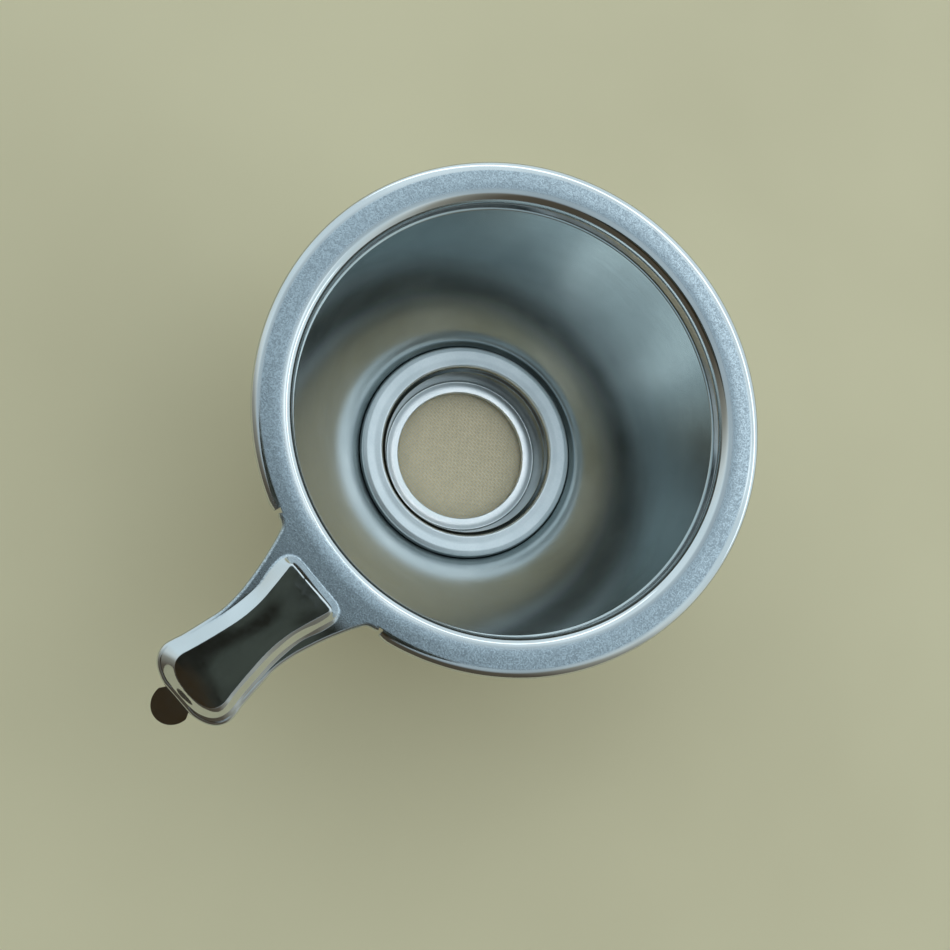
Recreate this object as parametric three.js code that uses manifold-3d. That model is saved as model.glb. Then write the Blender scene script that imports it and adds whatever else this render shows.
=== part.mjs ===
// A small funnel strainer in stainless steel. A stamped rim and handle carries a conical bowl, and a
// drawn outlet ring and a retaining ring clamp a disc of filter mesh over the bowl's outlet.
// Millimetres, +Z up. The foot stands on z = 0, the bowl's axis is vertical and the handle points to -Y.
import * as THREE from "three";
import { mergeVertices } from "three/addons/utils/BufferGeometryUtils.js";
import Module from "manifold-3d";

// Driving dimensions
const rimHeight = 48.0; // flat face of the rim above the foot
const rimRadius = 45.4; // outside of the hem
const rimSheet = 0.6;
const hemDepth = 2.0;
const hemThickness = 1.2; // the sheet is folded back on itself
const flatOuterRadius = 43.7; // where the hem starts to turn down
const flatInnerRadius = 42.0; // where the face starts to fall towards the collar
const collarRadius = 38.3; // inside of the collar
const collarBend = 2.05;
const collarBendDepth = 2.22;
const collarDepth = 3.6;

const bowlSheet = 0.5;
const seatGap = 0.3; // clearance between pieces that are pressed together
const coneTopRadius = 38.1;
const coneTopDepth = 4.3;
const coneEndRadius = 22.4;
const coneEndDepth = 41.6;
const bowlFloorDepth = 42.4;
const bowlHoleRadius = 18.4;

const crestDepth = 39.15; // top of the outlet ring's flange below the rim
const flangeRadius = 21.7;
const neckRadius = 17.3; // inside of the neck under its small step
const neckEndRadius = 16.4;
const neckEndDepth = 46.4;
const holeRadius = 13.9;
const ringSheet = 0.5;

const meshRadius = 16.2;
const meshThickness = 0.25;
const meshDepth = 47.15; // upper side of the mesh below the rim

const sleeveRadius = 18.3; // outside of the retaining ring's tube
const sleeveFlangeRadius = 21.0;
const sleeveTopDepth = 43.2;
const sleeveSheet = 0.5;
const footHoleRadius = 14.4;

const tabReach = 73.1; // centre of the round tail tab from the bowl's axis
const tabRadius = 3.2;
const handleEnd = 72.1;
const handleLip = 2.0; // depth of the handle's turned-down edge
const panelHeight = 1.9; // raised panel above the rim's flat face
const panelBevel = 1.7;
const hemGapAngle = 16.6; // degrees from the handle's centreline to each end of the hem

const coarse = 48; // facets round the small rings
const fine = 72; // facets round the rim and the bowl

const wasm = await Module();
wasm.setup();

// Solids and meshes

function solid(geometry) {
  const g = geometry.clone();
  g.deleteAttribute("normal");
  g.deleteAttribute("uv");
  const merged = mergeVertices(g, 1e-4);
  const made = new wasm.Manifold(
    new wasm.Mesh({
      numProp: 3,
      vertProperties: merged.attributes.position.array,
      triVerts: new Uint32Array(merged.index.array),
    }),
  );
  return made;
}

function geometryOf(made) {
  const m = made.getMesh();
  const g = new THREE.BufferGeometry();
  g.setAttribute("position", new THREE.BufferAttribute(new Float32Array(m.vertProperties), 3));
  g.setIndex(new THREE.BufferAttribute(new Uint32Array(m.triVerts), 1));
  g.computeVertexNormals();
  return g;
}

// A closed profile of [radius, depth below the rim's flat face] turned round the bowl's axis.
function revolve(profile, facets) {
  const points = profile.map(([r, d]) => new THREE.Vector2(r, -d));
  if (THREE.ShapeUtils.isClockWise(points)) points.reverse();
  points.push(points[0].clone());
  return new THREE.LatheGeometry(points, facets).rotateX(Math.PI / 2);
}

// Points on an arc in the profile plane; angles in degrees, 0 outwards and 90 upwards.
function arc(r, depth, radius, from, to, steps) {
  const out = [];
  for (let i = 0; i <= steps; i++) {
    const a = THREE.MathUtils.degToRad(from + ((to - from) * i) / steps);
    out.push([r + radius * Math.cos(a), depth - radius * Math.sin(a)]);
  }
  return out;
}

// A flat outline of Vector2 extruded between two depths below the rim's flat face.
function slab(outline, topDepth, bottomDepth) {
  const g = new THREE.ExtrudeGeometry(new THREE.Shape(outline), {
    depth: bottomDepth - topDepth,
    bevelEnabled: false,
  });
  return solid(g.translate(0, 0, -bottomDepth));
}

// Handle outlines: [distance from the bowl's axis, half width], from the rim outwards

const handleStations = [
  [41.8, 12.9],
  [42.9, 11.3],
  [44.3, 10.1],
  [46.3, 9.2],
  [49.4, 8.1],
  [52.6, 7.2],
  [56.0, 6.5],
  [59.2, 6.4],
  [62.6, 6.8],
  [65.6, 7.3],
  [68.2, 7.7],
  [69.8, 7.2],
  [71.0, 6.1],
  [71.8, 4.6],
  [handleEnd, 3.2],
];

const panelStations = [
  [46.3, 4.9],
  [48.9, 4.2],
  [52.0, 3.6],
  [56.0, 3.3],
  [60.6, 3.7],
  [64.6, 4.4],
  [67.0, 4.9],
  [68.8, 4.4],
  [69.9, 3.0],
];

// The whole outline from its right-hand stations, counter-clockwise from above and moved inwards.
function outline(stations, samples, inwards = 0) {
  const side = new THREE.SplineCurve(stations.map(([s, w]) => new THREE.Vector2(w, -s)));
  const run = side.getSpacedPoints(samples).reverse();
  const right = run.map((p, i) => {
    const t = run[Math.min(i + 1, samples)].clone().sub(run[Math.max(i - 1, 0)]).normalize();
    return new THREE.Vector2(p.x - t.y * inwards, p.y + t.x * inwards);
  });
  const left = right.map((p) => new THREE.Vector2(-p.x, p.y)).reverse();
  return [...right, ...left];
}

// A low block with rounded shoulders over the outline; its foot stands out by panelBevel.
function pillow(points, topDepth) {
  const g = new THREE.ExtrudeGeometry(new THREE.Shape(points), {
    depth: 1.2,
    bevelEnabled: true,
    bevelThickness: panelHeight,
    bevelSize: panelBevel,
    bevelSegments: 3,
  });
  return solid(g.translate(0, 0, -topDepth - 1.2 - panelHeight));
}

// Rim and handle, one sheet

const rimProfile = [
  [collarRadius, collarDepth],
  ...arc(collarRadius + collarBend, collarBendDepth, collarBend, 180, 102, 5),
  [flatInnerRadius - 0.9, 0.04],
  [flatInnerRadius, 0],
  [flatOuterRadius, 0],
  [rimRadius - 1.0, 0.08],
  [rimRadius - 0.5, 0.27],
  [rimRadius - 0.15, 0.6],
  [rimRadius, 1.0],
  ...arc(rimRadius - hemThickness / 2, hemDepth - hemThickness / 2, hemThickness / 2, 0, -180, 4),
  [rimRadius - hemThickness, rimSheet + 0.1],
  [rimRadius - hemThickness - 0.1, rimSheet],
  [flatInnerRadius, rimSheet],
  ...arc(collarRadius + collarBend, collarBendDepth, collarBend - rimSheet, 102, 180, 4),
  [collarRadius + rimSheet, collarDepth],
];

const gapAngle = THREE.MathUtils.degToRad(hemGapAngle);
const gapSector = [
  new THREE.Vector2(Math.sin(gapAngle) * 43.95, -Math.cos(gapAngle) * 43.95),
  new THREE.Vector2(0, -43.95),
  new THREE.Vector2(-Math.sin(gapAngle) * 43.95, -Math.cos(gapAngle) * 43.95),
  new THREE.Vector2(-Math.sin(gapAngle) * 48, -Math.cos(gapAngle) * 48),
  new THREE.Vector2(Math.sin(gapAngle) * 48, -Math.cos(gapAngle) * 48),
];
const handleOutline = outline(handleStations, 22);
const insideLip = slab(outline(handleStations, 22, rimSheet), rimSheet, handleLip + 1);
const underRing = solid(
  revolve(
    [
      [30, rimSheet],
      [rimRadius - 0.1, rimSheet],
      [rimRadius - 0.1, handleLip + 1],
      [30, handleLip + 1],
    ],
    fine,
  ),
);
const tail = [];
for (let i = 0; i <= 14; i++) {
  const a = Math.PI + (Math.PI * i) / 14;
  tail.push(new THREE.Vector2(tabRadius * Math.cos(a), -tabReach + tabRadius * Math.sin(a)));
}
tail.push(new THREE.Vector2(tabRadius, -71.3), new THREE.Vector2(-tabRadius, -71.3));

const aboveSheet = slab(
  [
    new THREE.Vector2(-20, -80),
    new THREE.Vector2(20, -80),
    new THREE.Vector2(20, -40),
    new THREE.Vector2(-20, -40),
  ],
  -panelHeight - 1,
  rimSheet / 2,
);

const rimAndHandle = solid(revolve(rimProfile, fine))
  .subtract(slab(gapSector, -1, hemDepth + 1))
  .add(slab(handleOutline, 0, handleLip).subtract(insideLip).subtract(underRing))
  .add(pillow(outline(panelStations, 14), -panelHeight).intersect(aboveSheet))
  .subtract(pillow(outline(panelStations, 14, 0.55), rimSheet - panelHeight))
  .add(slab(tail, handleLip - rimSheet, handleLip));

// Bowl: a cone with a joggled lip outside the collar and a flat floor round the outlet

const lipRadius = collarRadius + rimSheet + seatGap;
const slope = Math.atan2(coneTopRadius - coneEndRadius, coneEndDepth - coneTopDepth);
const wallOut = [bowlSheet * Math.cos(slope), bowlSheet * Math.sin(slope)];
const bowlProfile = [
  [lipRadius, collarBendDepth + seatGap],
  [lipRadius + bowlSheet, collarBendDepth + seatGap],
  [lipRadius + bowlSheet, collarDepth + 0.6],
  [coneTopRadius + wallOut[0], coneTopDepth + wallOut[1] + 0.3],
  [coneEndRadius + wallOut[0], coneEndDepth + wallOut[1]],
  [coneEndRadius - 0.3, bowlFloorDepth + bowlSheet],
  [bowlHoleRadius, bowlFloorDepth + bowlSheet],
  [bowlHoleRadius, bowlFloorDepth],
  [coneEndRadius - 0.7, bowlFloorDepth],
  [coneEndRadius, coneEndDepth],
  [coneTopRadius, coneTopDepth],
  [lipRadius, collarDepth + 0.3],
];

// Outlet ring: a raised flange, a stepped neck and an inner rim that rises to the hole

const outletProfile = [
  [flangeRadius, bowlFloorDepth - seatGap],
  [22.35, crestDepth + 1.75],
  [22.25, crestDepth + 1.05],
  [22.05, crestDepth + 0.6],
  [21.6, crestDepth + 0.3],
  [20.9, crestDepth + 0.1],
  [20.3, crestDepth],
  [18.8, crestDepth],
  [18.4, crestDepth + 0.12],
  [18.15, crestDepth + 0.4],
  [17.98, crestDepth + 1.2],
  [neckRadius, crestDepth + 1.75],
  [neckEndRadius, neckEndDepth - 0.9],
  [neckEndRadius - 0.2, neckEndDepth - 0.65],
  [15.1, neckEndDepth - 0.83],
  [holeRadius, neckEndDepth - 0.75],
  [holeRadius, neckEndDepth + 0.5],
  [holeRadius + ringSheet, neckEndDepth + 0.5],
  [holeRadius + ringSheet, neckEndDepth - 0.25],
  [15.1, neckEndDepth - 0.35],
  [16.7, neckEndDepth - 0.1],
  [neckEndRadius + ringSheet, neckEndDepth - 0.3],
  [neckRadius + ringSheet, crestDepth + 2.05],
  [18.4, crestDepth + 1.55],
  [18.6, crestDepth + 0.7],
  [18.85, crestDepth + 0.5],
  [20.3, crestDepth + 0.5],
  [21.2, crestDepth + 0.7],
  [21.65, crestDepth + 1.05],
  [21.85, crestDepth + 1.8],
  [flangeRadius - ringSheet, bowlFloorDepth - seatGap],
];

// Filter mesh: a plain disc

const meshProfile = [
  [0, meshDepth],
  [meshRadius, meshDepth],
  [meshRadius, meshDepth + meshThickness],
  [0, meshDepth + meshThickness],
];

// Retaining ring: a flanged sleeve round the neck, turned in under the mesh as the foot

const sleeveBore = sleeveRadius - sleeveSheet;
const retainerProfile = [
  [sleeveRadius, sleeveTopDepth + sleeveSheet],
  [sleeveRadius, rimHeight - 0.6],
  [sleeveRadius - 0.2, rimHeight - 0.2],
  [sleeveRadius - 0.6, rimHeight],
  [footHoleRadius, rimHeight],
  [footHoleRadius, rimHeight - 0.4],
  [sleeveBore, rimHeight - 0.4],
  [sleeveBore, sleeveTopDepth],
  [sleeveFlangeRadius, sleeveTopDepth],
  [sleeveFlangeRadius, sleeveTopDepth + sleeveSheet],
];

// Assembly

const satin = { color: 0xb4c0c6, metalness: 1.0 };
const pieces = [
  ["rim_and_handle", geometryOf(rimAndHandle), { ...satin, roughness: 0.3 }],
  ["bowl", revolve(bowlProfile, fine), { ...satin, color: 0x9aa5a8, roughness: 0.35 }],
  ["outlet_ring", revolve(outletProfile, coarse), { ...satin, color: 0xc8d2d8, roughness: 0.2 }],
  ["filter_mesh", revolve(meshProfile, coarse), { ...satin, color: 0xa4a69c, roughness: 0.45 }],
  ["retaining_ring", revolve(retainerProfile, coarse), { ...satin, roughness: 0.3 }],
];

const group = new THREE.Group();
group.position.set(0, (tabReach + tabRadius - rimRadius) / 2, rimHeight);
for (const [name, geometry, look] of pieces) {
  const mesh = new THREE.Mesh(geometry, new THREE.MeshStandardMaterial(look));
  mesh.name = name;
  group.add(mesh);
}

export default group;
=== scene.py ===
"""A small stainless steel funnel strainer: its visual pieces, its looks and the stage round it.

Profiles are (radius, depth) in millimetres, depth measured down from the rim's flat face.
Handle outlines are (s, half width) in millimetres, s measured from the bowl's axis along the handle.
"""

import math

import bmesh
import bpy
import numpy as np
from mathutils import Matrix, Vector


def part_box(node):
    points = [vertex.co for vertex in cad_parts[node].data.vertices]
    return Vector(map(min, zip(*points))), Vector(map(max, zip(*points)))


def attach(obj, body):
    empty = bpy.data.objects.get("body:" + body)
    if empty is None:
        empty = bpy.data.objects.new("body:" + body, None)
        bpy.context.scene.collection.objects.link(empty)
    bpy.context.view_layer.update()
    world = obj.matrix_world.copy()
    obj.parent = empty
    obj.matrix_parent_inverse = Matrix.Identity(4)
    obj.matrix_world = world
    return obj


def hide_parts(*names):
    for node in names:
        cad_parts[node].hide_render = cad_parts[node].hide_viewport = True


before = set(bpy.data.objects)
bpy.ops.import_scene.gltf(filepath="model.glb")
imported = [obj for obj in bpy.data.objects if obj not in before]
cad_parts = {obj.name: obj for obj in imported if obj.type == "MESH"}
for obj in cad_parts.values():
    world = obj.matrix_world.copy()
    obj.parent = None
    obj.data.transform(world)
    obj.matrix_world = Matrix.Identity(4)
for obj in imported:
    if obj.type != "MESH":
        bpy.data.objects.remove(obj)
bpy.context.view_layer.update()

# shape dimensions in millimetres, angles in degrees round the bowl's axis from the handle
MM = 0.001
HEIGHT = 48.0
SHEET = 0.6
PRESS_GAP = 0.3
RIM_R = 45.4
FLAT_R = 43.7
COLLAR_R = 38.3
COLLAR_BEND = 2.05
COLLAR_BEND_DEPTH = 2.22
COLLAR_DEPTH = 3.6
ROOT_ANGLE = 15.9
HEM_ANGLE = 16.6
PANEL_HEIGHT = 1.9
LIP_BEND = 0.65
LIP_DEPTH = 2.0
TAB_S = 73.1
TAB_R = 3.2

_lo, _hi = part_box("bowl")
AXIS_X = (_lo.x + _hi.x) / 2
AXIS_Y = (_lo.y + _hi.y) / 2
FOOT_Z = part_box("retaining_ring")[0].z
RIM_Z = FOOT_Z + HEIGHT * MM


# ---------------------------------------------------------------- mesh helpers


def point(x, y, depth):
    """A point given from the bowl's axis and the rim's flat face, in the row frame."""
    return (AXIS_X + x * MM, AXIS_Y + y * MM, RIM_Z - depth * MM)


def new_object(name, verts, faces):
    """A mesh object in the scene; verts are in metres in the row frame."""
    mesh = bpy.data.meshes.new(name)
    mesh.from_pydata(verts, [], faces)
    mesh.update()
    obj = bpy.data.objects.new(name, mesh)
    bpy.context.scene.collection.objects.link(obj)
    return obj


def clean(obj, up_probe=None, merge=True):
    """Merges points that coincide, if wanted, and makes the faces agree; up_probe's must face up."""
    bm = bmesh.new()
    bm.from_mesh(obj.data)
    if merge:
        bmesh.ops.remove_doubles(bm, verts=bm.verts, dist=1e-7)
    bmesh.ops.recalc_face_normals(bm, faces=bm.faces)
    if up_probe is not None:
        target = Vector(up_probe)
        nearest = min(bm.faces, key=lambda f: (f.calc_center_median() - target).length)
        if nearest.normal.z < 0:
            bmesh.ops.reverse_faces(bm, faces=bm.faces)
    bm.to_mesh(obj.data)
    bm.free()
    obj.data.update()


def bake_modifiers(obj):
    """Applies the object's modifiers to its mesh."""
    dg = bpy.context.evaluated_depsgraph_get()
    mesh = bpy.data.meshes.new_from_object(obj.evaluated_get(dg))
    old = obj.data
    obj.modifiers.clear()
    obj.data = mesh
    bpy.data.meshes.remove(old)


def smooth(obj, degrees):
    """Smooth shading, with creases where faces meet at more than the given angle."""
    obj.data.polygons.foreach_set("use_smooth", [True] * len(obj.data.polygons))
    obj.data.set_sharp_from_angle(angle=math.radians(degrees))


def arc(r, depth, radius, start, end, steps):
    """Arc points in the profile plane; 0 degrees points outwards and 90 up."""
    out = []
    for i in range(steps + 1):
        a = math.radians(start + (end - start) * i / steps)
        out.append((r + radius * math.cos(a), depth - radius * math.sin(a)))
    return out


def rounded(corners, step=12):
    """A closed profile from (r, depth, fillet radius) corners, with support points by each arc."""
    out = []
    n = len(corners)
    for i in range(n):
        p = Vector(corners[i][:2])
        a = Vector(corners[i - 1][:2]) - p
        b = Vector(corners[(i + 1) % n][:2]) - p
        want = corners[i][2]
        angle = a.angle(b)
        if want <= 0 or angle > math.radians(179):
            out.append(tuple(p))
            continue
        reach = min(want / math.tan(angle / 2), 0.48 * a.length, 0.48 * b.length)
        radius = reach * math.tan(angle / 2)
        centre = p + (a.normalized() + b.normalized()).normalized() * (radius / math.sin(angle / 2))
        first, last = p + a.normalized() * reach, p + b.normalized() * reach
        v0, v1 = first - centre, last - centre
        turn = math.pi - angle
        steps = max(2, round(math.degrees(turn) / step))
        sign = 1 if v0.x * v1.y - v0.y * v1.x > 0 else -1
        for k in range(steps + 1):
            c, s = math.cos(sign * turn * k / steps), math.sin(sign * turn * k / steps)
            out.append((centre.x + v0.x * c - v0.y * s, centre.y + v0.x * s + v0.y * c))
    return out


def refined(profile, longest=1.2, support=0.12, long_run=0.5):
    """The closed profile with support points near the ends of long runs and along them."""
    out = []
    for i, corner in enumerate(profile):
        a, b = Vector(corner), Vector(profile[(i + 1) % len(profile)])
        out.append(tuple(a))
        length = (b - a).length
        if length > long_run:
            d = (b - a) / length
            parts = math.ceil(length / longest)
            inner = [support, *(length * k / parts for k in range(1, parts)), length - support]
            out.extend(tuple(a + d * t) for t in sorted(inner) if 0.1 < t < length - 0.1)
    return out


def revolve(name, profile, steps=288):
    """A closed profile turned round the bowl's axis."""
    verts, faces = [], []
    n = len(profile)
    for k in range(steps):
        a = 2 * math.pi * k / steps
        verts.extend(point(r * math.sin(a), -r * math.cos(a), d) for r, d in profile)
    for k in range(steps):
        m = (k + 1) % steps
        for i in range(n):
            j = (i + 1) % n
            faces.append((k * n + i, m * n + i, m * n + j, k * n + j))
    obj = new_object(name, verts, faces)
    clean(obj)
    smooth(obj, 50)
    return obj


# ---------------------------------------------------------------- handle outlines

# the outer edge, the foot of the raised panel's slope and the panel's own edge
SIDE = [
    (41.9, 12.75),
    (42.5, 12.3),
    (42.9, 11.7),
    (43.15, 11.0),
    (43.6, 10.4),
    (44.4, 9.95),
    (46.2, 9.2),
    (49.8, 7.95),
    (53.7, 6.9),
    (56.0, 6.5),
    (58.6, 6.3),
    (61.0, 6.55),
    (65.2, 7.15),
    (66.9, 7.55),
    (68.3, 7.75),
    (69.5, 7.45),
    (70.5, 6.75),
    (71.3, 5.6),
    (71.8, 4.3),
    (72.05, 3.3),
]

SLOPE_FOOT = [
    (44.6, 0.0),
    (44.6, 2.0),
    (44.6, 3.8),
    (44.75, 5.0),
    (45.3, 5.95),
    (46.2, 6.5),
    (47.3, 6.72),
    (49.4, 6.4),
    (52.2, 5.55),
    (54.8, 5.35),
    (58.4, 5.5),
    (62.2, 6.0),
    (64.6, 6.35),
    (66.6, 6.85),
    (68.0, 7.05),
    (69.4, 6.7),
    (70.5, 5.6),
    (71.2, 3.8),
    (71.4, 2.0),
    (71.45, 0.0),
]

PANEL = [
    (46.2, 0.0),
    (46.2, 2.2),
    (46.2, 4.0),
    (46.4, 4.7),
    (47.6, 4.5),
    (50.5, 3.9),
    (53.9, 3.35),
    (57.4, 3.3),
    (61.6, 3.85),
    (65.5, 4.55),
    (67.2, 4.9),
    (68.4, 4.7),
    (69.3, 3.9),
    (70.0, 2.4),
    (70.3, 0.0),
]


def spline(points, samples):
    """Even samples along a Catmull-Rom curve through the points."""
    p = [np.array(q, float) for q in points]
    p = [2 * p[0] - p[1], *p, 2 * p[-1] - p[-2]]
    dense = []
    for i in range(1, len(p) - 2):
        for t in np.linspace(0, 1, 24, endpoint=False):
            a, b, c, d = p[i - 1], p[i], p[i + 1], p[i + 2]
            square = (2 * a - 5 * b + 4 * c - d) * t**2
            cube = (3 * b - a - 3 * c + d) * t**3
            dense.append(0.5 * (2 * b + (c - a) * t + square + cube))
    dense.append(p[-2])
    return resampled(np.array(dense), samples)


def resampled(curve, samples):
    """The polyline with its points spread evenly along it."""
    run = np.r_[0, np.cumsum(np.linalg.norm(np.diff(curve, axis=0), axis=1))]
    at = np.linspace(0, run[-1], samples)
    return np.c_[np.interp(at, run, curve[:, 0]), np.interp(at, run, curve[:, 1])]


def moved_in(side, distance):
    """A side curve of (s, half width) moved towards the handle's middle."""
    t = np.gradient(side, axis=0)
    t /= np.linalg.norm(t, axis=1)[:, None]
    return side + np.c_[t[:, 1], -t[:, 0]] * distance


def loop_of(side):
    """The closed outline (x, s) of a side curve."""
    return np.r_[np.c_[side[:, 1], side[:, 0]], np.c_[-side[::-1, 1], side[::-1, 0]]]


def inside_distance(points, loop):
    """Distance from each point to the loop's edge, positive inside it."""
    a, b = loop, np.roll(loop, -1, axis=0)
    d = b - a
    best = np.full(len(points), 1e9)
    inside = np.zeros(len(points), bool)
    for i in range(len(a)):
        l2 = d[i] @ d[i]
        if l2 < 1e-12:
            continue
        t = np.clip(((points - a[i]) @ d[i]) / l2, 0, 1)
        near = a[i] + t[:, None] * d[i]
        best = np.minimum(best, np.linalg.norm(points - near, axis=1))
        crosses = (a[i, 1] > points[:, 1]) != (b[i, 1] > points[:, 1])
        with np.errstate(divide="ignore", invalid="ignore"):
            x = a[i, 0] + (points[:, 1] - a[i, 1]) * d[i, 0] / d[i, 1]
        inside ^= crosses & (points[:, 0] < x)
    return np.where(inside, best, -best)


def ramp(u, soft):
    """0 to 1 as u goes from 0 to 1, straight with rounded ends of the given width."""
    u = np.asarray(u, float)

    def soft_plus(v):
        return np.where(v <= -soft, 0, np.where(v >= soft, v, (v + soft) ** 2 / (4 * soft)))

    return soft_plus(u) - soft_plus(u - 1)


# ---------------------------------------------------------------- rim and handle

# the collar's easy bend, the hem's half thickness and the angle in which it narrows to its end
EASY_BEND = 9.985
EASY_BEND_R = 42.0
HEM_R = 0.62
HEM_RUN_OUT = 2.6

# columns across the handle, rows along it and the columns that the tab leaves free on each side
HANDLE_STEPS = 112
FIELD_ROWS = 260
TAB_MARGIN = 10


def neighbours(items):
    """Each item with the one after it."""
    return list(zip(items, items[1:]))


def hem_swell(degrees):
    """The hem's uneven width round the rim, as a factor; it narrows where it ends at the handle."""
    phi = math.radians(degrees)
    uneven = 1.0 - 0.17 * math.cos(phi) + 0.03 * math.sin(3 * phi + 0.8) + 0.02 * math.sin(7 * phi)
    clear = max(min(degrees, 360 - degrees) - HEM_ANGLE, 0)
    return uneven * (0.72 + 0.28 * math.sin(math.radians(min(clear / HEM_RUN_OUT, 1) * 90)))


def handle_field():
    """The handle's flat field: x and s of its points, in rows from the ring's edge to the tail."""
    side = moved_in(spline(SIDE, 900), LIP_BEND)
    start = int(np.argmin(np.abs(np.hypot(side[:, 0], side[:, 1]) - FLAT_R)))
    side = resampled(side[start:], FIELD_ROWS)
    half = FLAT_R * math.sin(math.radians(ROOT_ANGLE))
    near = FLAT_R * math.cos(math.radians(ROOT_ANGLE))
    # the first points are drawn on to the end of the ring's edge
    pull = np.exp(-((side[:, 0] - side[0, 0]) / 0.5))[:, None]
    side = side + pull * (np.array([near, half]) - side[0])
    # the first rows follow the ring's curve, which fades out towards the tail
    t = np.linspace(-1, 1, HANDLE_STEPS + 1)
    bulge = np.sqrt(FLAT_R**2 - (t * half) ** 2) - near
    fade = 1 - ramp((side[:, :1] - side[0, 0]) / 7.0, 0.15)
    return side[:, 1:] * t, side[:, :1] + bulge * fade


def panel_height(x, s):
    """Height of the raised panel: up the slope from its foot to the panel's edge, then a faint crown."""
    flat = np.c_[x.ravel(), s.ravel()]
    up = inside_distance(flat, loop_of(spline(SLOPE_FOOT, 170)))
    over = inside_distance(flat, loop_of(spline(PANEL, 150)))
    share = np.clip(up, 0, None) / np.maximum(np.clip(up, 0, None) + np.clip(-over, 0, None), 1e-6)
    # the slope is nearly straight on the left and more and more S-shaped towards the right
    curve = 0.10 + 0.52 * ramp((flat[:, 0] + 1.5) / 5.0, 0.3)
    rise, crown_rise = PANEL_HEIGHT * 0.94, PANEL_HEIGHT * 0.05
    height = rise * ((1 - curve) * share + curve * share**2 * (3 - 2 * share))
    half_panel = np.interp(flat[:, 1], *zip(*PANEL))
    crown = np.clip(1 - (flat[:, 0] / np.maximum(half_panel, 1.0)) ** 2, 0, 1)
    crown *= ramp((flat[:, 1] - PANEL[0][0]) / 5.0, 0.3) * ramp((PANEL[-1][0] - flat[:, 1]) / 4.0, 0.3)
    height += np.where(over > 0, crown_rise * crown, 0)
    return height.reshape(x.shape)


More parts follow.
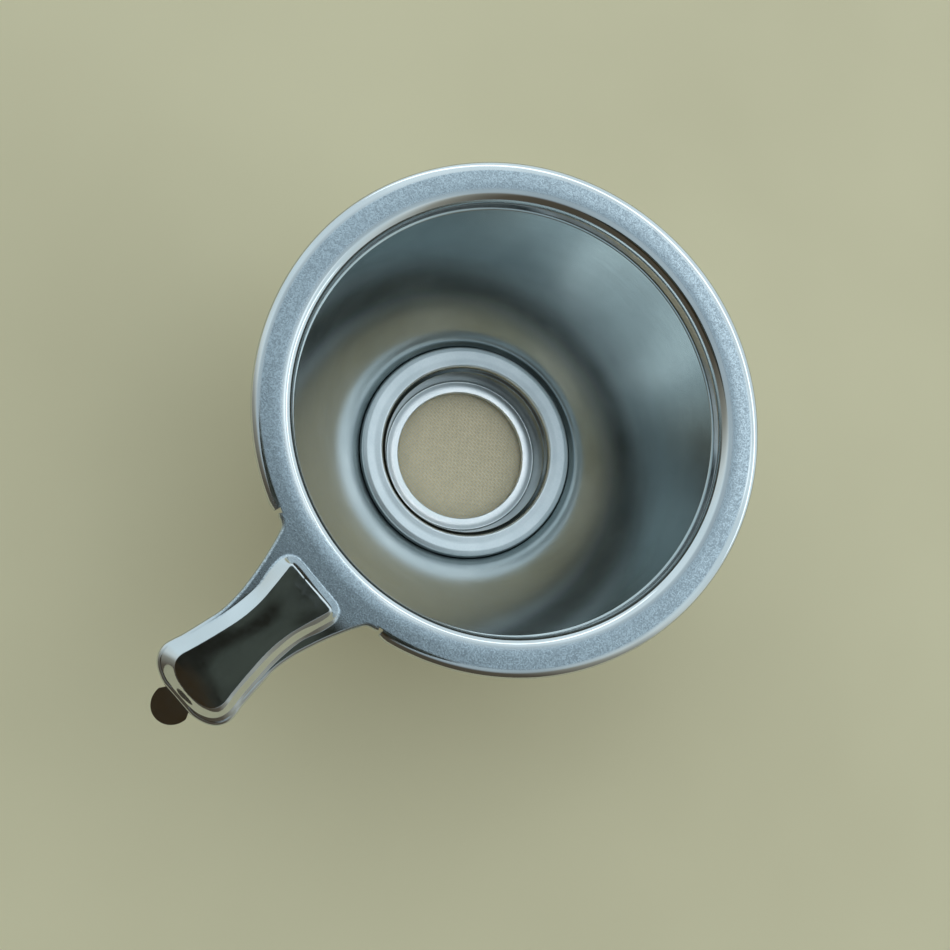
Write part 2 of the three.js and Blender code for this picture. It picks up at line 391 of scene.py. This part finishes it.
def build_rim():
    """One sheet: collar, flat ring, hem and handle, then given its thickness."""
    verts, faces = [], []

    def add(x, y, depth):
        verts.append(point(x, y, depth))
        return len(verts) - 1

    def stitch(rows, columns):
        """Faces between each row and the next, over the given pairs of columns."""
        for a, b in neighbours(rows):
            for j, k in columns:
                faces.append((a[j], a[k], b[k], b[j]))

    def offsets(row):
        """A row's points as (x, y) from the bowl's axis, in millimetres."""
        return np.array([verts[i][:2] for i in row]) / MM - np.array([AXIS_X, AXIS_Y]) / MM

    root = np.linspace(-1, 1, HANDLE_STEPS + 1) * math.sin(math.radians(ROOT_ANGLE))
    phis = np.r_[np.degrees(np.arcsin(root)), np.arange(ROOT_ANGLE + 1, 360 - ROOT_ANGLE, 1.0)]

    def ring(r, depth, which):
        """A ring's vertices by their place in phis; beyond the flat face the hem's swell applies."""
        made = {}
        for k in which:
            phi = math.radians(phis[k])
            here = r if r <= FLAT_R else FLAT_R + (r - FLAT_R) * hem_swell(phis[k])
            made[k] = add(here * math.sin(phi), -here * math.cos(phi), depth)
        return made

    # a tight bend up from the collar, then a long easy one on to the flat face
    inner = [(COLLAR_R, COLLAR_DEPTH), (COLLAR_R, 3.3), (COLLAR_R, 2.8), (COLLAR_R, 2.4)]
    inner += arc(COLLAR_R + COLLAR_BEND, COLLAR_BEND_DEPTH, COLLAR_BEND, 180, 102, 18)
    inner += arc(EASY_BEND_R, EASY_BEND, EASY_BEND, 102, 90, 10)[1:]
    inner += [(42.4, 0), (42.9, 0), (43.4, 0), (FLAT_R, 0)]
    everywhere = range(len(phis))
    rows = [ring(r, d, everywhere) for r, d in inner]
    stitch(rows, neighbours([*everywhere, 0]))
    edge = rows[-1]

    # the hem: over the edge, round its foot and a little way up again
    hem_points = [(44.1, 0.025), (44.4, 0.08), (44.7, 0.17), (44.95, 0.29), (45.15, 0.45), (45.29, 0.65)]
    hem_points += [(45.37, 0.85), (RIM_R, 1.1)]
    hem_points += arc(RIM_R - HEM_R, 1.4, HEM_R, 0, -180, 12)
    hem_points += [(RIM_R - 2 * HEM_R, 1.1), (RIM_R - 2 * HEM_R, 0.75)]
    hem = [k for k in everywhere if HEM_ANGLE <= phis[k] <= 360 - HEM_ANGLE]
    rows = [{k: edge[k] for k in hem}]
    rows += [ring(r, d, hem) for r, d in hem_points]
    stitch(rows, neighbours(hem))

    # the handle's flat field with its raised panel
    xs, ss = handle_field()
    height = panel_height(xs, ss)
    columns = range(HANDLE_STEPS + 1)
    grid = [[edge[k] for k in columns]]
    grid += [[add(xs[i, j], -ss[i, j], -height[i, j]) for j in columns] for i in range(1, FIELD_ROWS)]
    stitch(grid, neighbours(columns))

    # the turned-down lip round the field's free edge
    border = [g[0] for g in grid] + grid[-1][1:-1] + [g[-1] for g in reversed(grid)]
    flat_xy = offsets(border)
    tangent = np.gradient(flat_xy, axis=0)
    for _ in range(3):
        tangent[1:-1] = (tangent[:-2] + 2 * tangent[1:-1] + tangent[2:]) / 4
    tangent /= np.linalg.norm(tangent, axis=1)[:, None]
    out = np.c_[tangent[:, 1], -tangent[:, 0]]
    if out[10, 0] > 0:  # the border starts on the left, so outwards is towards -X there
        out = -out
    bend = [math.radians(a) for a in range(15, 91, 15)]
    shape = [(LIP_BEND * math.sin(a), LIP_BEND * (1 - math.cos(a))) for a in bend]
    shape += [(LIP_BEND, z) for z in (0.7, 1.0, 1.3, 1.6, LIP_DEPTH)]
    lip = [border]
    for reach, depth in shape:
        lip.append([add(*(flat_xy[i] + out[i] * reach), depth) for i in range(len(border))])
    stitch(lip, neighbours(range(len(border))))

    # the round tail tab, bent out from the foot of the lip
    first = FIELD_ROWS + TAB_MARGIN
    foot = lip[-1][first : first + HANDLE_STEPS - 2 * TAB_MARGIN]
    foot_x, foot_y = offsets(foot).T
    start_s, half_foot = -foot_y.mean(), abs(foot_x).max()
    rows = [foot]
    round_end = TAB_S + TAB_R * np.sin(np.linspace(0.12, 1.5, 14))
    for s in np.r_[np.linspace(start_s + 0.3, TAB_S, 6), round_end]:
        if s <= TAB_S:
            grow = (s - start_s) / (TAB_S - start_s)
            w = half_foot * (1 - grow) + TAB_R * grow
        else:
            w = math.sqrt(max(TAB_R**2 - (s - TAB_S) ** 2, 0.01))
        rows.append([add(x * w / half_foot, -s, LIP_DEPTH) for x in foot_x])
    stitch(rows, neighbours(range(len(foot))))

    obj = new_object("rim_and_handle_sheet", verts, faces)
    clean(obj, point(0, 42, 0))
    solid = obj.modifiers.new("thickness", "SOLIDIFY")
    solid.thickness = SHEET * MM
    solid.offset = -1
    solid.use_even_offset = False
    bake_modifiers(obj)
    smooth(obj, 42)
    return obj


# ---------------------------------------------------------------- round pieces

LIP_R = COLLAR_R + SHEET + PRESS_GAP
CONE_TOP = (38.1, 4.3)
CONE_END = (22.4, 41.6)
BOWL_SHEET = 0.5
_slope = math.atan2(CONE_TOP[0] - CONE_END[0], CONE_END[1] - CONE_TOP[1])
WALL = (BOWL_SHEET * math.cos(_slope), BOWL_SHEET * math.sin(_slope))


def build_bowl():
    """The cone, with its upright lip outside the collar and a flange turned in under the ring."""
    corners = [
        (LIP_R, 2.52, 0.1),
        (LIP_R + BOWL_SHEET, 2.52, 0.1),
        (LIP_R + BOWL_SHEET, 4.2, 0.5),
        (CONE_TOP[0] + WALL[0], CONE_TOP[1] + WALL[1] + 0.3, 0.4),
        (CONE_END[0] + WALL[0], CONE_END[1] + WALL[1], 1.2),
        (CONE_END[0] - 0.3, 42.9, 0.4),
        (18.4, 42.9, 0.08),
        (18.4, 42.4, 0.08),
        (CONE_END[0] - 0.7, 42.4, 0.3),
        (CONE_END[0], CONE_END[1], 0.6),
        (CONE_TOP[0], CONE_TOP[1], 0.25),
        (LIP_R, 3.9, 0.15),
    ]
    return revolve("bowl_shell", refined(rounded(corners)))


def build_outlet():
    """The ring raised in the bowl's bottom: crest, neck down to the mesh, and the hole's edge."""
    corners = [
        (21.7, 42.1, 0.1),
        (22.6, 41.0, 0.3),
        (22.75, 40.45, 0.2),
        (22.35, 39.3, 0.6),
        (21.4, 39.05, 0.7),
        (19.8, 39.18, 3.0),
        (18.25, 39.08, 0.45),
        (17.95, 40.4, 0.25),
        (17.3, 40.85, 0.3),
        (16.4, 45.8, 0.3),
        (15.1, 45.55, 2.5),
        (13.9, 45.65, 0.2),
        (13.9, 46.9, 0.08),
        (14.4, 46.9, 0.08),
        (14.4, 46.15, 0.2),
        (15.1, 46.05, 1.0),
        (16.9, 46.3, 0.4),
        (17.8, 41.2, 0.3),
        (18.4, 40.7, 0.3),
        (18.65, 39.65, 0.3),
        (21.0, 39.65, 1.0),
        (21.9, 39.95, 0.4),
        (22.1, 40.7, 0.3),
        (21.2, 42.1, 0.1),
    ]
    return revolve("outlet_ring_shell", refined(rounded(corners), 0.8), 240)


def build_retainer():
    """The foot ring that holds the mesh from below."""
    corners = [
        (18.3, 43.7, 0.3),
        (18.3, HEIGHT, 0.7),
        (14.4, HEIGHT, 0.12),
        (14.4, 47.6, 0.12),
        (17.8, 47.6, 0.2),
        (17.8, 43.2, 0.25),
        (21.0, 43.2, 0.15),
        (21.0, 43.7, 0.15),
    ]
    return revolve("retaining_ring_shell", refined(rounded(corners), 0.8), 240)


def build_mesh():
    """Plain-weave wire cloth: every wire rises over one neighbour and dips under the next."""
    pitch, wire, radius, depth = 0.6, 0.09, 16.1, 47.27
    sides, per_pitch, fewest = 6, 4, 3
    verts, faces = [], []
    count = int(radius / pitch)
    for along_x in (True, False):
        for k in range(-count, count + 1):
            offset = k * pitch
            half = math.sqrt(radius**2 - offset**2)
            samples = int(half / (pitch / per_pitch))
            if samples < fewest:
                continue
            base = len(verts)
            for i in range(-samples, samples + 1):
                run = i * pitch / per_pitch
                phase = math.pi * (run / pitch + k) + (0 if along_x else math.pi)
                lift = wire * 0.5 * math.cos(phase)
                for q in range(sides):
                    a = 2 * math.pi * q / sides
                    aside, up = wire / 2 * math.cos(a), wire / 2 * math.sin(a)
                    x, y = (run, offset + aside) if along_x else (offset + aside, run)
                    verts.append(point(x, y, depth - lift - up))
            last = base + 2 * samples * sides
            for start in range(base, last, sides):
                for q in range(sides):
                    p = (q + 1) % sides
                    faces.append((start + q, start + p, start + sides + p, start + sides + q))
            faces.append(tuple(base + q for q in reversed(range(sides))))
            faces.append(tuple(last + q for q in range(sides)))
    obj = new_object("filter_wire_cloth", verts, faces)
    clean(obj, merge=False)
    smooth(obj, 60)
    return obj


# ---------------------------------------------------------------- materials


class Nodes:
    """A material with one surface shader, and short names for building what feeds it."""

    def __init__(self, name, metallic=1.0):
        self.material = bpy.data.materials.new(name)
        self.material.use_nodes = True
        self.tree = self.material.node_tree
        self.tree.nodes.clear()
        out = self.add("ShaderNodeOutputMaterial")
        self.bsdf = self.add("ShaderNodeBsdfPrincipled")
        self.bsdf.inputs["Metallic"].default_value = metallic
        self.link(self.bsdf.outputs["BSDF"], out.inputs["Surface"])
        self.coords = self.add("ShaderNodeTexCoord").outputs["Object"]

    def add(self, kind, **settings):
        node = self.tree.nodes.new(kind)
        for key, value in settings.items():
            setattr(node, key, value)
        return node

    def link(self, a, b):
        self.tree.links.new(a, b)

    def feed(self, socket, value):
        """Gives an input a number, or links another node's output to it."""
        if isinstance(value, (int, float)):
            socket.default_value = value
        else:
            self.link(value, socket)

    def surface(self, colour, roughness, normal=None):
        """Feeds the surface shader and returns the finished material."""
        self.link(colour, self.bsdf.inputs["Base Color"])
        self.feed(self.bsdf.inputs["Roughness"], roughness)
        if normal is not None:
            self.link(normal, self.bsdf.inputs["Normal"])
        return self.material

    def math(self, op, *values):
        node = self.add("ShaderNodeMath", operation=op)
        for socket, value in zip(node.inputs, values):
            self.feed(socket, value)
        return node.outputs[0]

    def times(self, first, *others):
        for other in others:
            first = self.math("MULTIPLY", first, other)
        return first

    def blend(self, a, share_a, b, share_b):
        """a and b added up, each times its share."""
        return self.math("ADD", self.times(a, share_a), self.times(b, share_b))

    def step(self, value, low, high, out_low=0.0, out_high=1.0):
        """A smooth step from out_low at low to out_high at high."""
        node = self.add("ShaderNodeMapRange", interpolation_type="SMOOTHSTEP")
        self.link(value, node.inputs["Value"])
        node.inputs["From Min"].default_value = low
        node.inputs["From Max"].default_value = high
        node.inputs["To Min"].default_value = out_low
        node.inputs["To Max"].default_value = out_high
        return node.outputs["Result"]

    def below(self, value, low, high):
        """1 below low, 0 above high."""
        return self.step(value, low, high, 1.0, 0.0)

    def noise(self, scale, detail=3.0, roughness=0.5, vector=None):
        node = self.add("ShaderNodeTexNoise")
        node.inputs["Scale"].default_value = scale
        node.inputs["Detail"].default_value = detail
        node.inputs["Roughness"].default_value = roughness
        self.link(vector or self.coords, node.inputs["Vector"])
        return node.outputs["Fac"]

    def mix(self, factor, a, b):
        """Mix two colours; a and b are colours or sockets."""
        node = self.add("ShaderNodeMix", data_type="RGBA")
        self.link(factor, node.inputs[0])
        for socket, v in ((node.inputs[6], a), (node.inputs[7], b)):
            if isinstance(v, tuple):
                socket.default_value = (*v, 1.0)
            else:
                self.link(v, socket)
        return node.outputs[2]

    def lerp(self, factor, a, b):
        """Mix two numbers."""
        node = self.add("ShaderNodeMix", data_type="FLOAT")
        self.link(factor, node.inputs[0])
        self.feed(node.inputs[2], a)
        self.feed(node.inputs[3], b)
        return node.outputs[0]

    def bump(self, height, strength, distance, normal=None):
        node = self.add("ShaderNodeBump")
        node.inputs["Strength"].default_value = strength
        node.inputs["Distance"].default_value = distance
        self.link(height, node.inputs["Height"])
        if normal is not None:
            self.link(normal, node.inputs["Normal"])
        return node.outputs["Normal"]

    def place(self):
        """(x, y, z) from the bowl's axis and the rim's flat face, in metres."""
        shift = self.add("ShaderNodeVectorMath", operation="SUBTRACT")
        self.link(self.coords, shift.inputs[0])
        shift.inputs[1].default_value = (AXIS_X, AXIS_Y, RIM_Z)
        parts = self.add("ShaderNodeSeparateXYZ")
        self.link(shift.outputs[0], parts.inputs[0])
        return tuple(parts.outputs)

    def radius(self, x, y):
        return self.math("SQRT", self.math("ADD", self.times(x, x), self.times(y, y)))

    def turn(self, x, y):
        """The angle round the bowl's axis, in turns."""
        return self.math("DIVIDE", self.math("ARCTAN2", x, y), 2 * math.pi)

    def combine(self, x, y, z):
        node = self.add("ShaderNodeCombineXYZ")
        for socket, v in zip(node.inputs, (x, y, z)):
            self.feed(socket, v)
        return node.outputs[0]


# the soft edges of each finish are (low, high) in metres from the bowl's axis and the rim's flat face


def sheet_material():
    """Etched satin on the flat ring, the handle's root and its left margin, polish elsewhere."""
    n = Nodes("rim_steel_satin_and_polish")
    x, y, z = n.place()
    radius = n.radius(x, y)
    ring_inner, ring_outer = (0.0399, 0.0406), (0.04350, 0.04378)
    root_half, root_start, root_end = (0.0112, 0.0122), (-0.0400, -0.0385), (0.0452, 0.0490)
    margin_side, margin_far, margin_near = (-0.0058, -0.0052), (-0.0625, -0.0575), (-0.0425, -0.0410)
    face_high, face_low = (0.0001, 0.0003), (-0.0004, -0.0002)
    across = n.math("ABSOLUTE", x)
    band = n.times(n.step(radius, *ring_inner), n.below(radius, *ring_outer))
    root = n.times(n.below(across, *root_half), n.below(y, *root_start), n.below(radius, *root_end))
    margin = n.times(n.below(x, *margin_side), n.step(y, *margin_far), n.below(y, *margin_near))
    level = n.times(n.below(z, *face_high), n.step(z, *face_low))
    satin = n.times(n.math("MAXIMUM", n.math("MAXIMUM", band, root), margin), level)
    grain = n.noise(4200, 2, 0.6)
    blotch = n.noise(900, 3, 0.6)
    cloud = n.noise(60, 2, 0.5)
    mottle = n.blend(grain, 0.8, blotch, 0.2)
    etched = n.mix(n.step(mottle, 0.36, 0.64), (0.30, 0.345, 0.385), (0.56, 0.635, 0.685))
    polished = n.mix(n.step(cloud, 0.35, 0.65), (0.58, 0.60, 0.61), (0.66, 0.68, 0.69))
    rough_etched = n.step(mottle, 0.35, 0.65, 0.38, 0.25)
    rough_polish = n.step(blotch, 0.3, 0.7, 0.06, 0.11)
    waves = n.bump(n.noise(90, 2, 0.4), 0.2, 0.0002)
    fine = n.bump(n.times(grain, satin), 0.5, 0.00004, waves)
    return n.surface(n.mix(satin, polished, etched), n.lerp(satin, rough_polish, rough_etched), fine)


def spun_material(name, dark, light, rough_low, rough_high, lines=9000.0, line_strength=0.12):
    """Turned steel with faint lines round the axis and soft cloudy variation."""
    n = Nodes(name)
    x, y, z = n.place()
    along = n.math("SUBTRACT", n.radius(x, y), z)
    angle = n.turn(x, y)
    line = n.noise(1.0, 3, 0.6, n.combine(n.times(along, lines), n.times(angle, 14.0), 0.0))
    wide = n.noise(1.0, 2, 0.5, n.combine(n.times(along, lines * 0.08), n.times(angle, 5.0), 3.0))
    cloud = n.noise(140, 4, 0.6)
    tone = n.blend(line, 0.4, cloud, 0.6)
    rough = n.step(n.blend(wide, 0.5, cloud, 0.5), 0.3, 0.7, rough_low, rough_high)
    relief = n.bump(n.math("ADD", line, n.times(wide, 0.8)), line_strength, 0.00006)
    return n.surface(n.mix(n.step(tone, 0.35, 0.65), dark, light), rough, relief)


def ring_material():
    """Blasted matt steel with partly painted light on its near-white crest, and a polished neck inside the
    crest and a duller outer flank whose dark colour is painted shade.
    """
    n = Nodes("ring_steel_matt_and_polish_painted_light_and_shade")
    x, y, _ = n.place()
    radius = n.radius(x, y)
    neck_inner, neck_outer, flank_inner = (0.01622, 0.01640), (0.01800, 0.01822), (0.02215, 0.02235)
    # painted shade: the neck, and the outer flank at 0.3, take a dark polished colour for the shade in the
    # neck and in the crevice by the flank
    neck = n.times(n.step(radius, *neck_inner), n.below(radius, *neck_outer))
    flank = n.step(radius, *flank_inner, 0.0, 0.3)
    polish_and_painted_shade_mask = n.math("MAXIMUM", neck, flank)
    grain = n.noise(2600, 2, 0.6)
    cloud = n.noise(140, 4, 0.6)
    tone = n.blend(grain, 0.35, cloud, 0.65)
    # partly the blasted finish's paler tone, partly painted light: the crest's colour is near-white, above
    # the steel's own
    matt = n.mix(n.step(tone, 0.35, 0.65), (0.86, 0.90, 0.92), (0.95, 0.97, 0.98))
    # painted shade: this dark polished colour stands in for the shade in the neck and the crevice by the
    # outer flank
    polish = n.mix(n.step(cloud, 0.35, 0.65), (0.22, 0.24, 0.245), (0.28, 0.305, 0.31))
    rough = n.lerp(polish_and_painted_shade_mask, n.step(tone, 0.35, 0.65, 0.42, 0.36), n.step(cloud, 0.3, 0.7, 0.10, 0.16))
    return n.surface(n.mix(polish_and_painted_shade_mask, matt, polish), rough, n.bump(grain, 0.2, 0.00003))


def wire_material():
    n = Nodes("mesh_steel_wire")
    tone = n.noise(900, 3, 0.6)
    colour = n.mix(n.step(tone, 0.35, 0.65), (0.62, 0.62, 0.58), (0.80, 0.79, 0.74))
    return n.surface(colour, n.step(tone, 0.3, 0.7, 0.28, 0.42))


def floor_material():
    n = Nodes("floor_pale", metallic=0.0)
    colour = n.mix(n.step(n.noise(9, 3, 0.5), 0.3, 0.7), (0.78, 0.675, 0.44), (0.84, 0.73, 0.48))
    return n.surface(colour, 0.85)


# ---------------------------------------------------------------- the object

rim = build_rim()
bowl = build_bowl()
outlet = build_outlet()
retainer = build_retainer()
cloth = build_mesh()

looks = {
    rim: ("rim_and_handle", "rim_steel", sheet_material()),
    bowl: (
        "bowl",
        "bowl_steel",
        spun_material("bowl_steel_spun", (0.43, 0.475, 0.48), (0.485, 0.535, 0.54), 0.15, 0.19, 5000.0, 0.03),
    ),
    outlet: ("outlet_ring", "ring_steel", ring_material()),
    retainer: (
        "retaining_ring",
        "ring_steel",
        spun_material("retainer_steel", (0.60, 0.63, 0.65), (0.70, 0.73, 0.75), 0.20, 0.30),
    ),
    cloth: ("filter_mesh", "mesh_steel", wire_material()),
}
for piece, (node, slot, material) in looks.items():
    piece.data.materials.clear()
    piece.data.materials.append(material)
    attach(piece, "root")
    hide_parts(node)


# ---------------------------------------------------------------- stage, light and camera


def build_floor():
    size = 6.0
    corners = [(-size, -size), (size, -size), (size, size), (-size, size)]
    obj = new_object("floor", [(x, y, FOOT_Z) for x, y in corners], [(0, 1, 2, 3)])
    obj.data.materials.append(floor_material())


build_floor()

# the surround: the bright side's direction in degrees from +X, and the colours from dark to bright side
BRIGHT_SIDE = 110.0
WORLD_STRENGTH = 2.1
OVERHEAD = (0.225, 0.28, 0.31)
OVERHEAD_FROM, OVERHEAD_FULL = 0.80, 0.96
AROUND = [
    (0.0, (0.04, 0.035, 0.025)),
    (0.18, (0.055, 0.048, 0.036)),
    (0.36, (0.15, 0.155, 0.135)),
    (0.52, (0.36, 0.41, 0.415)),
    (0.67, (0.39, 0.475, 0.51)),
    (0.85, (0.40, 0.48, 0.515)),
    (1.0, (0.42, 0.50, 0.535)),
]


def build_world():
    """A soft studio surround: bright behind the bowl, dark on the handle's side, grey overhead."""
    world = bpy.data.worlds.new("studio")
    world.use_nodes = True
    tree = world.node_tree
    tree.nodes.clear()
    out = tree.nodes.new("ShaderNodeOutputWorld")
    background = tree.nodes.new("ShaderNodeBackground")
    tree.links.new(background.outputs[0], out.inputs[0])
    coords = tree.nodes.new("ShaderNodeTexCoord").outputs["Generated"]

    def vector(operation, a, b=None):
        node = tree.nodes.new("ShaderNodeVectorMath")
        node.operation = operation
        for socket, v in zip(node.inputs, (a, b)):
            if isinstance(v, tuple):
                socket.default_value = v
            elif v is not None:
                tree.links.new(v, socket)
        return node.outputs["Value"] if operation == "DOT_PRODUCT" else node.outputs["Vector"]

    def ramp_of(factor, stops):
        node = tree.nodes.new("ShaderNodeValToRGB")
        tree.links.new(factor, node.inputs[0])
        elements = node.color_ramp.elements
        elements[0].position, elements[0].color = stops[0][0], (*stops[0][1], 1)
        elements[1].position, elements[1].color = stops[-1][0], (*stops[-1][1], 1)
        for position, colour in stops[1:-1]:
            elements.new(position).color = (*colour, 1)
        return node.outputs[0]

    flat = vector("NORMALIZE", vector("MULTIPLY", coords, (1, 1, 0)))
    angle = math.radians(BRIGHT_SIDE)
    side = vector("DOT_PRODUCT", flat, (0.5 * math.cos(angle), 0.5 * math.sin(angle), 0.0))
    # from 0 on the dark side to 1 on the bright side
    shift = tree.nodes.new("ShaderNodeMath")
    shift.operation = "ADD"
    shift.inputs[1].default_value = 0.5
    tree.links.new(side, shift.inputs[0])
    height = tree.nodes.new("ShaderNodeMapRange")
    height.interpolation_type = "SMOOTHSTEP"
    tree.links.new(vector("DOT_PRODUCT", coords, (0, 0, 1)), height.inputs["Value"])
    height.inputs["From Min"].default_value = OVERHEAD_FROM
    height.inputs["From Max"].default_value = OVERHEAD_FULL
    mix = tree.nodes.new("ShaderNodeMix")
    mix.data_type = "RGBA"
    tree.links.new(height.outputs["Result"], mix.inputs[0])
    tree.links.new(ramp_of(shift.outputs[0], AROUND), mix.inputs[6])
    mix.inputs[7].default_value = (*OVERHEAD, 1)
    tree.links.new(mix.outputs[2], background.inputs[0])
    background.inputs[1].default_value = WORLD_STRENGTH
    bpy.context.scene.world = world


build_world()


def place_light(name, data, place, aim):
    """Puts a light in the scene, turned towards its aim."""
    obj = bpy.data.objects.new(name, data)
    obj.location = place
    obj.rotation_euler = (Vector(aim) - Vector(place)).to_track_quat("-Z", "Y").to_euler()
    bpy.context.scene.collection.objects.link(obj)


def softbox(name, place, aim, size, watts, colour):
    """A rectangular light; size is its two sides in metres."""
    data = bpy.data.lights.new(name, "AREA")
    data.shape = "RECTANGLE"
    data.size, data.size_y = size
    data.energy = watts
    data.color = colour
    place_light(name, data, place, aim)


def snoot(name, place, aim, footprint, watts, radius):
    """A narrow soft-edged beam; footprint is the radius it covers at its aim."""
    data = bpy.data.lights.new(name, "SPOT")
    data.energy = watts
    data.shadow_soft_size = radius
    distance = (Vector(aim) - Vector(place)).length
    data.spot_size = 2 * math.atan(footprint / distance)
    data.spot_blend = 0.3
    place_light(name, data, place, aim)


# a window and a long strip, high up behind the bowl, and a beam straight down the outlet's bore
DAYLIGHT = (0.93, 0.98, 1.0)
BOWL_TOP = point(0, 0, 0)
softbox("window", point(150, 480, -755), BOWL_TOP, (0.34, 0.2), 0.10, DAYLIGHT)
softbox("strip", point(-60, 690, -560), BOWL_TOP, (2.4, 0.13), 1.2, DAYLIGHT)
snoot("outlet_beam", point(0, 0, -560), point(0, 0, 47), 14.5 * MM, 3.4, 0.004)


def build_camera():
    """Looks down the bowl from the handle's side, rolled so that the handle points to the lower left."""
    eye = Vector(point(-3.39, -57.53, -153.1))
    target = Vector(point(3.31, -13.6, 0.0))
    roll = math.radians(58.62)
    data = bpy.data.cameras.new("camera")
    data.sensor_width = 36.0
    data.lens = 36.0
    data.clip_start = 0.005
    obj = bpy.data.objects.new("camera", data)
    back = (eye - target).normalized()
    level = Vector((0, 0, 1)).cross(back).normalized()
    up = back.cross(level)
    right = level * math.cos(roll) + up * math.sin(roll)
    top = back.cross(right)
    turn = Matrix((right, top, back)).transposed().to_4x4()
    obj.matrix_world = Matrix.Translation(eye) @ turn
    bpy.context.scene.collection.objects.link(obj)
    bpy.context.scene.camera = obj


build_camera()


def build_flag():
    """A dark card round the camera, seen only in reflections."""
    x0, x1, y0, y1, depth = -66, 66, -150, -26, -158
    verts = [point(x0, y0, depth), point(x1, y0, depth), point(x1, y1, depth), point(x0, y1, depth)]
    flag = new_object("camera_flag", verts, [(0, 1, 2, 3)])
    n = Nodes("flag_dark", metallic=0.0)
    tone = n.noise(34, 2, 0.5)
    cool = n.mix(n.step(tone, 0.42, 0.60), (0.022, 0.023, 0.026), (0.13, 0.16, 0.19))
    warm = n.mix(n.step(tone, 0.35, 0.65), (0.060, 0.034, 0.018), (0.080, 0.048, 0.026))
    _, y, _ = n.place()
    flag.data.materials.append(n.surface(n.mix(n.step(y, -0.088, -0.082), warm, cool), 0.9))
    flag.visible_camera = False
    flag.visible_shadow = False
    flag.visible_diffuse = False


build_flag()
bpy.context.scene.view_settings.view_transform = "Standard"
